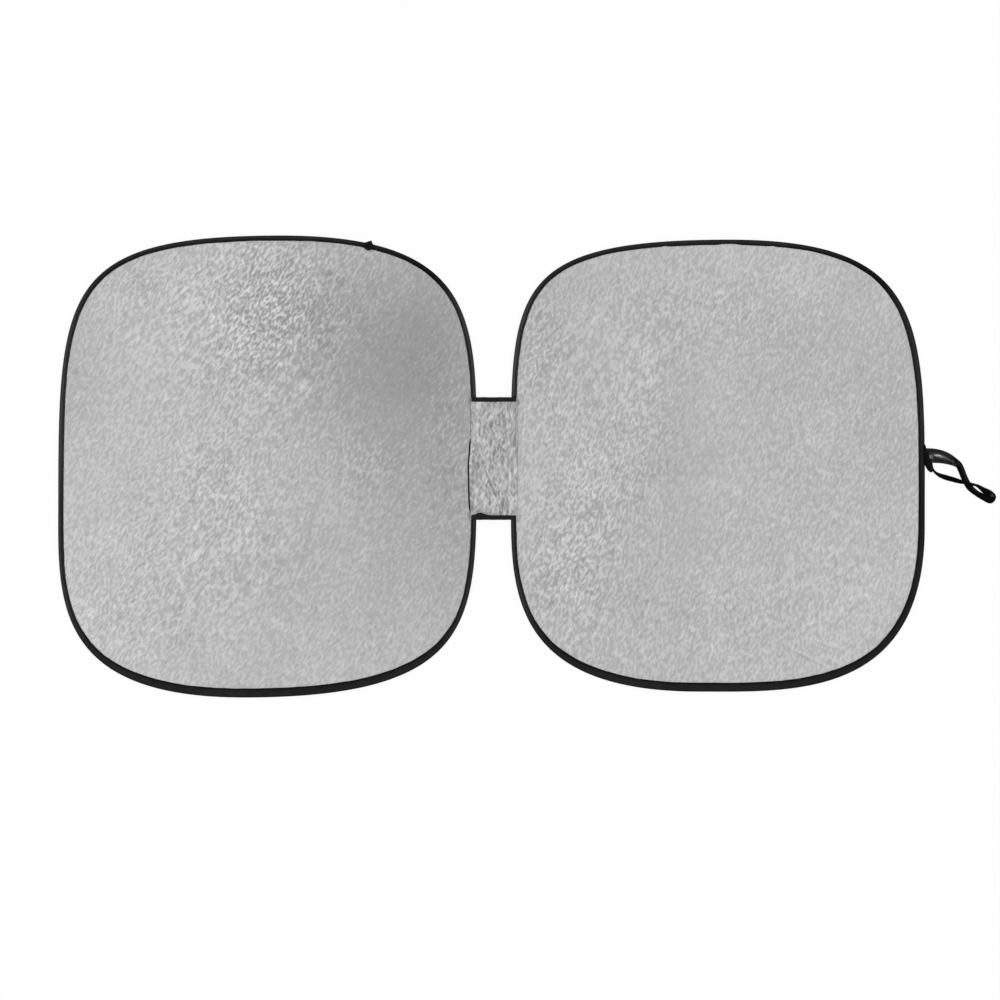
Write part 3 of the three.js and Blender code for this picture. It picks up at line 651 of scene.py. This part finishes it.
def bridge_cloth(finish):
    y = np.linspace(BRIDGE_LOW + 1.1 * MM, BRIDGE_HIGH - 1.1 * MM, BRIDGE_ROWS + 1)
    share = np.linspace(0, 1, BRIDGE_COLUMNS + 1)
    rows = []
    for level in y:
        gap_left, gap_right = float(LEFT.side_x(level, 1)), float(RIGHT.side_x(level, -1))
        free_left, lap = float(left_free_edge(level)), float(right_lap(level))
        x, z = bridge_profile(share, gap_left, gap_right, free_left, lap)
        rows.append(np.column_stack([x, np.full_like(x, level), z]))
    grid = np.array(rows)
    x, flat_y = grid[..., 0], grid[..., 1]
    gap_l = LEFT.side_x(flat_y, 1)
    gap_r = RIGHT.side_x(flat_y, -1)
    free = ease(x, gap_l - 2 * MM, gap_l + 5 * MM) * ease(-x, -(gap_r + 2 * MM), -(gap_r - 5 * MM))
    hem = np.maximum(1 - ease(flat_y, BRIDGE_LOW + 7 * MM, BRIDGE_LOW + 16 * MM),
                     ease(flat_y, BRIDGE_HIGH - 16 * MM, BRIDGE_HIGH - 7 * MM))
    folds = bridge_folds(x, flat_y, FOLD_SEED)
    inner = ease(share, 0, 0.05) * ease(1 - share, 0, 0.05)
    grid[..., 2] += folds * (0.3 + 0.7 * free) * (0.25 + 0.75 * inner) * (1 - hem)
    grid[..., 2] = grid[..., 2] * (1 - hem) + (HEM_LEVEL + 0.1 * MM + 0.35 * folds) * hem
    lip = bell(share / 0.035) * (1 - ease(np.abs(flat_y + 15 * MM), 45 * MM, 65 * MM))
    grid[..., 2] += 1.3 * MM * lip
    over_left = (x < gap_l + 0.6 * MM) & (x > gap_l - 3.4 * MM)
    over_right = (x > gap_r - 0.6 * MM) & (x < gap_r + 3.4 * MM)
    lowest = np.where(over_left | over_right, RIM_TOP + 0.7 * MM, 3.6 * MM)
    grid[..., 2] = np.maximum(grid[..., 2], lowest)
    top = grid.reshape(-1, 3)
    bottom = top - np.array([0, 0, BRIDGE_CLOTH])
    wide, high = BRIDGE_COLUMNS + 1, BRIDGE_ROWS + 1
    count = wide * high
    faces = []
    for j in range(BRIDGE_ROWS):
        for i in range(BRIDGE_COLUMNS):
            a = j * wide + i
            quad = (a, a + 1, a + wide + 1, a + wide)
            faces.append(quad)
            faces.append(tuple(count + k for k in reversed(quad)))
    border = list(range(wide)) + [j * wide + wide - 1 for j in range(1, high)]
    border += [(high - 1) * wide + i for i in range(wide - 2, -1, -1)]
    border += [j * wide for j in range(high - 2, 0, -1)]
    for k, here in enumerate(border):
        there = border[(k + 1) % len(border)]
        faces.append((there, here, count + here, count + there))
    piece = make_piece(
        "bridge_cloth", np.vstack([top, bottom]), faces, finish, ["bridge_sheet"]
    )
    # Painted light and shade of the gathers: the folds' crests painted lighter and their dents darker.
    fleck = BRIDGE_PAINTED_SHADE * (1 + 0.9 * np.clip(folds / MM, -0.4, 0.3)).ravel()
    add_values(piece, "relief", np.full(2 * count, 1.0))
    add_values(piece, "tone", np.append(fleck, fleck))
    add_values(piece, "bias", np.zeros(2 * count))
    return piece


def hem_tape(name, node, level, inward, finish, thread, seed):
    """A tape folded over one edge of the strip, square at both ends where it meets the panels' tapes."""
    stations = 90
    x = np.linspace(-HEM_REACH, HEM_REACH, stations) + BRIDGE_X
    if inward < 0:
        x = x[::-1]
    wave = smooth_noise(stations, 8, seed, closed=False) * 0.22 * MM
    width = HEM_WIDTH + smooth_noise(stations, 10, seed + 1, closed=False) * 0.25 * MM
    if inward > 0:
        width = width + 4.5 * MM * bell((x - PUCKER_X) / (9 * MM))
    rings = []
    for j in range(stations):
        w = width[j] / MM
        half = [(0, 0.2), (0.08, 0.8), (0.4, 1.25), (1.0, 1.45), (2.4, 1.5), (w - 2.6, 1.46), (w - 1.9, 1.3),
                (w - 1.2, 1.46), (w - 0.3, 1.42), (w, 1.1), (w, 0.7), (0.8, 0.65)]
        section = [(a, -b) for a, b in half] + [(a, b) for a, b in reversed(half)]
        rings.append([(x[j], level + inward * (a * MM) + wave[j], HEM_LEVEL + b * MM) for a, b in section])
    sides = len(rings[0])
    points = np.array(rings).reshape(-1, 3)
    uv = np.stack([points[:, 0], points[:, 1]], 1)
    piece = make_piece(name, points, ring_faces(stations, sides, False), finish, [node], uv=uv)
    add_values(piece, "tone", np.full(len(points), 0.9))
    count = 16
    px = np.linspace(-HEM_REACH + 4 * MM, HEM_REACH - 4 * MM, count) + BRIDGE_X
    order = np.argsort(x)
    wide = np.interp(px, x[order], width[order])
    places = np.column_stack([px, level + inward * (wide - 1.9 * MM), np.full(count, HEM_LEVEL + 1.38 * MM)])
    travels = np.tile([1.0, 0, 0], (count, 1))
    stitch_row(f"{name}_stitches", places, travels, 0.22 * MM, thread)


# Strap

STRAP_EDGE_X = 736.964 * MM
STRAP_ROUTE = [
    (0.7, 18.6, 3.0, 25.3), (8, 18.5, 1.6, 25.3), (15.3, 18.3, 0.8, 25), (29.5, 16.2, 0.8, 22.4),
    (41.7, 12.1, 0.9, 18.9), (50.7, 7.5, 1.2, 14.4), (57.6, 2.8, 1.4, 11.4), (61.8, -5.2, 1.6, 10.4),
    (66.2, -16.5, 1.8, 10.2), (71.2, -27.1, 1.8, 10.2), (77.0, -36.0, 1.8, 10), (88.5, -45.6, 1.8, 9.8),
    (102.0, -53.0, 1.6, 11.8), (111.8, -57.0, 1.9, 12), (115.6, -51.8, 3.6, 10.8), (110.2, -46.8, 5.6, 11.4),
    (100.4, -40.6, 6.2, 8.8), (88.5, -32.6, 6.4, 3.8), (80.0, -30.2, 7.0, 4.2), (71.5, -28.2, 7.2, 5.2),
    (63.2, -26.6, 6.8, 5.7), (47.5, -22.0, 4.6, 7.1), (34.6, -18.3, 2.8, 7.5), (25.4, -14.8, 2.6, 5.5),
    (19.0, -11.0, 2.5, 4.0), (14.0, -5.8, 2.6, 4), (9.6, 2.2, 5.0, 8), (7.2, 12.4, 6.0, 10),
]
# How much wider the elastic is than its route's band, as (point of the route, millimetres).
STRAP_SPREAD = [(5.5, 0), (7, 1.5), (10, 1.5), (11, 0), (14, 0), (15.5, 1.6), (17.5, 0.6), (19.5, 0),
                (20.5, 1.7), (23, 1.6), (25, 0)]
STRAP_STATIONS = 420
STRAP_SIDES = 28
STRAP_AREA = 30
STRAP_THICKEST = 4.4
# The elastic's glossy stretch: it ends between these distances out, and after so many stations.
GLOSS_END = (38 * MM, 52 * MM)
GLOSS_STATIONS = 150


def curve_through(points, count):
    """A smooth curve through points, its knots spaced by the root of their distances."""
    points = np.asarray(points, float)
    padded = np.vstack([2 * points[0] - points[1], points, 2 * points[-1] - points[-2]])
    gaps = np.linalg.norm(np.diff(padded, axis=0), axis=1) ** 0.5
    result = []
    for place in np.linspace(0, len(points) - 1, count):
        i = min(int(place), len(points) - 2)
        t = place - i
        p0, p1, p2, p3 = padded[i:i + 4]
        a, b, c = gaps[i:i + 3]
        start = ((p1 - p0) / a - (p2 - p0) / (a + b) + (p2 - p1) / b) * b
        end = ((p2 - p1) / b - (p3 - p1) / (b + c) + (p3 - p2) / c) * b
        result.append(
            (2 * t ** 3 - 3 * t ** 2 + 1) * p1 + (t ** 3 - 2 * t ** 2 + t) * start
            + (3 * t ** 2 - 2 * t ** 3) * p2 + (t ** 3 - t ** 2) * end
        )
    return np.array(result)


def strap(finish):
    route = np.array([(x, y, z) for x, y, z, _ in STRAP_ROUTE]) * MM + np.array([STRAP_EDGE_X, 0, 0])
    widths = np.array([width for *_, width in STRAP_ROUTE])
    centre = curve_through(route, STRAP_STATIONS)
    place = np.linspace(0, len(widths) - 1, STRAP_STATIONS)
    knots = np.arange(len(widths))
    width = smoothed(np.interp(place, knots, widths), 25)
    spread_at, spread = zip(*STRAP_SPREAD)
    width = width + np.interp(place, spread_at, spread)
    travel = np.gradient(centre, axis=0)
    travel /= np.linalg.norm(travel, axis=1)[:, None]
    across = np.cross(travel, [0, 0, 1.0])
    across /= np.linalg.norm(across, axis=1)[:, None]
    over = np.cross(across, travel)
    run = np.append(0, np.cumsum(np.linalg.norm(np.diff(centre, axis=0), axis=1)))
    angle = np.arange(STRAP_SIDES) * 2 * math.pi / STRAP_SIDES
    side, rise = rounded_section(angle, 0.7, 0.75)
    points = []
    for j in range(STRAP_STATIONS):
        thickness = min(STRAP_AREA / width[j], STRAP_THICKEST)
        flatness = float(ease(width[j], 9, 17))
        cup = flatness * (4.9 - 2.5 * side - 2.5 * side ** 2)
        offset = side * width[j] / 2
        up = rise * thickness / 2 * (1 - 0.45 * flatness) + cup
        ring = centre[j] - across[j] * (offset * MM)[:, None] + over[j] * (up * MM)[:, None]
        ring[:, 2] = np.maximum(ring[:, 2], 0.05 * MM)
        points.append(ring)
    uv = np.stack([np.repeat(run, STRAP_SIDES), np.tile(angle * 0.004, STRAP_STATIONS)], 1)
    piece = make_piece(
        "elastic_strap", np.concatenate(points), ring_faces(STRAP_STATIONS, STRAP_SIDES, False), finish,
        ["strap"], uv=uv,
    )
    near = 1 - ease(centre[:, 0] - STRAP_EDGE_X, *GLOSS_END)
    gloss = 0.05 + 0.95 * near * (np.arange(STRAP_STATIONS) < GLOSS_STATIONS)
    add_values(piece, "gloss", np.repeat(gloss, STRAP_SIDES))


# The strap's sewn end, as (y, left, right) in millimetres from the edge where the strap starts.
ANCHOR = [(37, -2.4, 0.6), (32, -3.0, 2.2), (26, -3.0, 4.6), (23, -3.0, 5.8), (13, -3.0, 9.0),
          (5.6, -2.0, 11.6), (-1.7, 1.6, 12.9), (-5, 3.4, 13.0), (-8, 6.0, 12.9), (-10, 9.0, 12.2)]


def strap_anchor(finish):
    """The strap's sewn end, folded down over the tape's edge."""
    stations, sides = 60, 24
    table = np.array(ANCHOR[::-1])
    y = np.linspace(table[-1, 0], table[0, 0], stations)
    left, right = (smoothed(np.interp(y, table[:, 0], table[:, k]), 7) for k in (1, 2))
    angle = np.arange(sides) * 2 * math.pi / sides
    across, rise = rounded_section(angle, 0.7, 0.7)
    points = []
    for level, low, high in zip(y, left, right):
        half = (high - low) / 2
        thick = min(3.2, 0.5 + 0.6 * half)
        ring_x = STRAP_EDGE_X + ((low + high) / 2 + half * across) * MM
        ring_z = np.maximum((5.6 + thick * rise) * MM, 0.1 * MM)
        points.append(np.column_stack([ring_x, np.full(sides, level * MM), ring_z]))
    faces = ring_faces(stations, sides, False)
    make_piece("strap_anchor", np.concatenate(points), faces, finish)


# Materials

# Most of a noise texture's values lie between these.
NOISE_RANGE = (0.3, 0.7)

SILVER_ROUGHNESS = (0.71, 0.77)
SILVER_TONE = (0.6, 0.64)
SILVER_BUMP = 0.66 * MM
PEBBLE_PAINTED_SHADE = 0.16
# About how many features a metre the cloth's pebble, grain and weave have.
PEBBLE_SCALE = 245.0
GRAIN_SCALE = 430.0
WEAVE_SCALE = 1900.0


class Nodes:
    """Short hand for building a material's nodes."""

    def __init__(self, name):
        self.material = bpy.data.materials.new(name)
        self.material.use_nodes = True
        self.tree = self.material.node_tree
        self.shader = self.tree.nodes["Principled BSDF"]

    def add(self, kind, **settings):
        node = self.tree.nodes.new(kind)
        for key, value in settings.items():
            setattr(node, key, value)
        return node

    def link(self, source, target):
        self.tree.links.new(source, target)

    def place(self, rotation=0.0, stretch=(1, 1, 1), uv=False):
        """Coordinates turned by an angle about Z and then stretched along the turned axes."""
        coordinates = self.add("ShaderNodeTexCoord")
        mapping = self.add("ShaderNodeMapping", vector_type="TEXTURE")
        mapping.inputs["Rotation"].default_value = (0, 0, rotation)
        mapping.inputs["Scale"].default_value = stretch
        self.link(coordinates.outputs["UV" if uv else "Object"], mapping.inputs["Vector"])
        return mapping.outputs["Vector"]

    def noise(self, vector, scale, detail=2.0, roughness=0.5):
        node = self.add("ShaderNodeTexNoise")
        node.inputs["Scale"].default_value = scale
        node.inputs["Detail"].default_value = detail
        node.inputs["Roughness"].default_value = roughness
        self.link(vector, node.inputs["Vector"])
        return node.outputs["Fac"]

    def remap(self, value, low, high, to_low=0.0, to_high=1.0, smooth=False):
        node = self.add("ShaderNodeMapRange", interpolation_type="SMOOTHSTEP" if smooth else "LINEAR")
        for name, number in (("From Min", low), ("From Max", high), ("To Min", to_low), ("To Max", to_high)):
            node.inputs[name].default_value = number
        self.link(value, node.inputs["Value"])
        return node.outputs["Result"]

    def math(self, operation, first, second):
        node = self.add("ShaderNodeMath", operation=operation)
        for socket, value in zip(node.inputs, (first, second)):
            if isinstance(value, (int, float)):
                socket.default_value = value
            else:
                self.link(value, socket)
        return node.outputs[0]

    def tones(self, value, dark, light):
        node = self.add("ShaderNodeMix", data_type="RGBA")
        node.inputs["A"].default_value = (*dark, 1)
        node.inputs["B"].default_value = (*light, 1)
        self.link(value, node.inputs["Factor"])
        self.link(node.outputs[2], self.shader.inputs["Base Color"])

    def attribute(self, name):
        return self.add("ShaderNodeAttribute", attribute_name=name).outputs["Fac"]

    def uneven(self, scale, detail, low=0.0, high=1.0):
        """A soft noise between two values."""
        return self.remap(self.noise(self.place(), scale, detail), *NOISE_RANGE, low, high)

    def bump(self, height, distance):
        node = self.add("ShaderNodeBump")
        node.inputs["Strength"].default_value = 1.0
        node.inputs["Distance"].default_value = distance
        self.link(height, node.inputs["Height"])
        self.link(node.outputs["Normal"], self.shader.inputs["Normal"])

    def set(self, **values):
        for key, value in values.items():
            self.shader.inputs[key.replace("_", " ")].default_value = value


def silver_cloth(name, lean):
    """Metallised cloth: satin silver with a pressed pebble that leans one way, over a fine weave; its colour
    carries the pebble's painted shade and the tone attribute's painted shading.
    """
    n = Nodes(name)
    n.set(Metallic=0.6, IOR=1.5, Specular_IOR_Level=0.3)
    n.link(n.uneven(60.0, 3.0, *SILVER_ROUGHNESS), n.shader.inputs["Roughness"])
    strength, bias, shade = n.attribute("relief"), n.attribute("bias"), n.attribute("tone")
    pebble = n.noise(n.place(math.radians(lean), (2.0, 1.0, 1.0)), PEBBLE_SCALE, 0.6)
    pebble = n.remap(n.math("ADD", pebble, bias), 0.4, 0.6, smooth=True)
    grain = n.noise(n.place(math.radians(lean + 8), (1.9, 1.0, 1.0)), GRAIN_SCALE, 2.0)
    weave = n.noise(n.place(), WEAVE_SCALE, 1.0)
    height = n.math("ADD", pebble, n.math("MULTIPLY", grain, 0.35))
    height = n.math("ADD", n.math("MULTIPLY", height, strength), n.math("MULTIPLY", weave, 0.05))
    n.bump(height, SILVER_BUMP)
    # Painted shade and highlight of the pebble: its lows painted darker and its highs lighter, then a soft
    # random tone, all times the tone attribute.
    painted_shade_and_tone = n.math("MULTIPLY", n.math("MULTIPLY", n.math("SUBTRACT", pebble, 0.5), PEBBLE_PAINTED_SHADE), strength)
    painted_shade_and_tone = n.math("ADD", painted_shade_and_tone, n.uneven(9.0, 3.0, *SILVER_TONE))
    n.tones(n.math("MULTIPLY", painted_shade_and_tone, shade), (0, 0, 0), (1, 1, 1.003))
    return n.material


def woven(name, dark, light, roughness, pitch, sheen, specular, depth=0.18, uneven=0.06, toned=False,
          shine=""):
    """A close black weave: ribs both ways, slightly uneven in tone. An attribute can set its gloss, and when
    toned its colour follows the tone attribute, which carries painted light and shade.
    """
    n = Nodes(name)
    n.set(Metallic=0.0, Specular_IOR_Level=specular, Sheen_Weight=sheen, Sheen_Roughness=0.6)
    if shine:
        n.link(n.math("MULTIPLY", n.attribute(shine), specular), n.shader.inputs["Specular IOR Level"])
    tone = n.noise(n.place(), 70.0, 4.0)
    shade = n.remap(tone, *NOISE_RANGE)
    if toned:
        local = n.math("MULTIPLY", n.remap(shade, 0, 1, 0.3, 0.5), n.attribute("tone"))
        n.tones(local, (0, 0, 0), tuple(2 * c for c in light))
    else:
        n.tones(shade, dark, light)
    n.link(n.uneven(300.0, 2.0, roughness - uneven, roughness + uneven), n.shader.inputs["Roughness"])
    along = n.add("ShaderNodeTexWave", wave_type="BANDS", bands_direction="X")
    across = n.add("ShaderNodeTexWave", wave_type="BANDS", bands_direction="Y")
    vector = n.place(uv=True)
    for wave in (along, across):
        wave.inputs["Scale"].default_value = 1 / pitch / 6
        wave.inputs["Distortion"].default_value = 0.4
        n.link(vector, wave.inputs["Vector"])
    if depth:
        ribs = n.math("MULTIPLY", along.outputs["Fac"], across.outputs["Fac"])
        n.bump(n.math("ADD", ribs, n.math("MULTIPLY", tone, 0.6)), depth * MM)
    return n.material


def steel(name, tone, roughness):
    n = Nodes(name)
    n.set(Metallic=1.0)
    n.tones(n.uneven(160.0, 3.0), tuple(t * 0.85 for t in tone), tone)
    n.link(n.uneven(400.0, 2.0, roughness - 0.07, roughness + 0.07), n.shader.inputs["Roughness"])
    n.bump(n.noise(n.place(), 500.0, 2.0), 0.04 * MM)
    return n.material


FLOOR_TONE = 0.93
FLOOR_GLOW = 0.94


def floor_material():
    """Pale floor: it shows white to the camera and in reflections, and keeps part of the object's shadow."""
    n = Nodes("floor")
    n.set(Base_Color=(FLOOR_TONE, FLOOR_TONE, FLOOR_TONE, 1), Roughness=0.9, Specular_IOR_Level=0.0)
    glow = n.add("ShaderNodeEmission")
    glow.inputs["Strength"].default_value = 1.0
    path = n.add("ShaderNodeLightPath")
    seen = n.math("MAXIMUM", path.outputs["Is Camera Ray"], path.outputs["Is Glossy Ray"])
    seen = n.math("MAXIMUM", seen, path.outputs["Is Transmission Ray"])
    mix = n.add("ShaderNodeMixShader")
    n.link(n.math("MULTIPLY", seen, FLOOR_GLOW), mix.inputs["Fac"])
    n.link(n.shader.outputs["BSDF"], mix.inputs[1])
    n.link(glow.outputs["Emission"], mix.inputs[2])
    n.link(mix.outputs["Shader"], n.tree.nodes["Material Output"].inputs["Surface"])
    return n.material


# Stage

FLOOR_HALF = 40
FLOOR_LEVEL = -0.2 * MM
WORLD_LEVEL = 0.3
# Lamps, as (name, place, target, size, power).
LAMPS = [
    ("key", (-3.4, 3.2, 3.4), (-0.2, 0, 0), (1.8, 1.4), 115),
    ("fill", (3.4, -2.6, 3.4), (0.3, 0, 0), (1.8, 1.4), 116),
    ("left_lamp", (-1.9, -0.6, 1.3), (-0.5, -0.15, 0), (1.2, 0.9), 15),
    ("right_lamp", (1.9, 0.3, 1.6), (0.4, 0, 0), (1.2, 0.9), 10),
    ("rim", (1.15, 1.65, 3.0), (0.77, 0.02, 0), (0.3, 0.3), 12),
]


def make_floor():
    data = bpy.data.meshes.new("floor")
    corners = [(x * FLOOR_HALF, y * FLOOR_HALF, 0) for x, y in ((-1, -1), (1, -1), (1, 1), (-1, 1))]
    data.from_pydata(corners, [], [(0, 1, 2, 3)])
    data.materials.append(floor_material())
    floor = bpy.data.objects.new("floor", data)
    floor.location = (0, 0, FLOOR_LEVEL)
    scene.collection.objects.link(floor)


def area_light(name, place, target, size, power):
    data = bpy.data.lights.new(name, "AREA")
    data.shape = "RECTANGLE"
    data.size, data.size_y = size
    data.energy = power
    lamp = bpy.data.objects.new(name, data)
    lamp.location = place
    lamp.rotation_euler = (Vector(target) - Vector(place)).to_track_quat("-Z", "Y").to_euler()
    scene.collection.objects.link(lamp)
    lamp.visible_camera = False


def make_world(strength):
    """A studio that is bright round the horizon and grey overhead."""
    world = bpy.data.worlds.new("studio")
    world.use_nodes = True
    scene.world = world
    tree = world.node_tree
    coordinates = tree.nodes.new("ShaderNodeTexCoord")
    split = tree.nodes.new("ShaderNodeSeparateXYZ")
    level = tree.nodes.new("ShaderNodeMapRange")
    level.inputs["From Min"].default_value = 0.1
    level.inputs["From Max"].default_value = 0.6
    level.inputs["To Min"].default_value = strength
    level.inputs["To Max"].default_value = 0.42 * strength
    tree.nodes["Background"].inputs["Color"].default_value = (1, 1, 1, 1)
    tree.links.new(coordinates.outputs["Generated"], split.inputs["Vector"])
    tree.links.new(split.outputs["Z"], level.inputs["Value"])
    tree.links.new(level.outputs["Result"], tree.nodes["Background"].inputs["Strength"])


# Assembly

make_camera()

MATERIALS = {
    "left_silver": silver_cloth("left_cloth", 60),
    "right_silver": silver_cloth("right_cloth", 70),
    "bridge_silver": silver_cloth("bridge_cloth", 82),
    "tape": woven("black_tape", (0.006, 0.006, 0.0063), (0.013, 0.013, 0.0134), 0.72, 1.1 * MM, 0.02, 0.18,
                  toned=True, shine="tone"),
    "thread": woven("black_thread", (0.006, 0.006, 0.006), (0.012, 0.012, 0.012), 0.6, 0.5 * MM, 0.02, 0.2),
    "elastic": woven("black_elastic", (0.002, 0.002, 0.002), (0.003, 0.003, 0.003), 0.21, 0.9 * MM, 0.0, 1.0,
                     depth=0, uneven=0.02, shine="gloss"),
    "fold": woven("black_fold", (0.001, 0.001, 0.001), (0.002, 0.002, 0.002), 0.5, 0.9 * MM, 0.0, 0.08, 0.1),
    "spring": steel("spring_steel", (0.42, 0.44, 0.47), 0.35),
    "sleeve": steel("crimped_steel", (0.55, 0.56, 0.57), 0.42),
}

strap(MATERIALS["elastic"])
strap_anchor(MATERIALS["fold"])

for side, panel, swells, fields, leans, creases, tones, seed, nicks in (
    ("left", LEFT, LEFT_SWELLS, LEFT_RELIEF, LEFT_LEAN, LEFT_CREASES, LEFT_PAINTED_SHADING, 3, ()),
    ("right", RIGHT, RIGHT_SWELLS, RIGHT_RELIEF, RIGHT_LEAN, RIGHT_CREASES, RIGHT_PAINTED_SHADING, 7, NICKS),
):
    relief = Relief(panel, fields, leans, creases, seed)
    cloth, cut = panel_cloth(side, panel, swells, relief, fields, tones, MATERIALS[f"{side}_silver"])
    tape, tape_widths = edge_tape(side, panel, 20 + seed, MATERIALS["tape"], nicks)
    stitches = panel_stitches(side, panel, tape_widths, MATERIALS["thread"])
    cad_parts[f"{side}_hoop"].data.materials[0] = MATERIALS["spring"]
    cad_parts[f"{side}_ferrule"].data.materials[0] = MATERIALS["sleeve"]

tape_tail(MATERIALS["tape"])
bridge = bridge_cloth(MATERIALS["bridge_silver"])
for edge_name, level, inward, seed in (("top", BRIDGE_HIGH, -1, 31), ("bottom", BRIDGE_LOW, 1, 41)):
    hem_tape(
        f"bridge_{edge_name}_tape", f"bridge_{edge_name}_binding", level, inward, MATERIALS["tape"],
        MATERIALS["thread"], seed,
    )

make_floor()
for lamp in LAMPS:
    area_light(*lamp)
make_world(WORLD_LEVEL)
scene.view_settings.view_transform = "Standard"
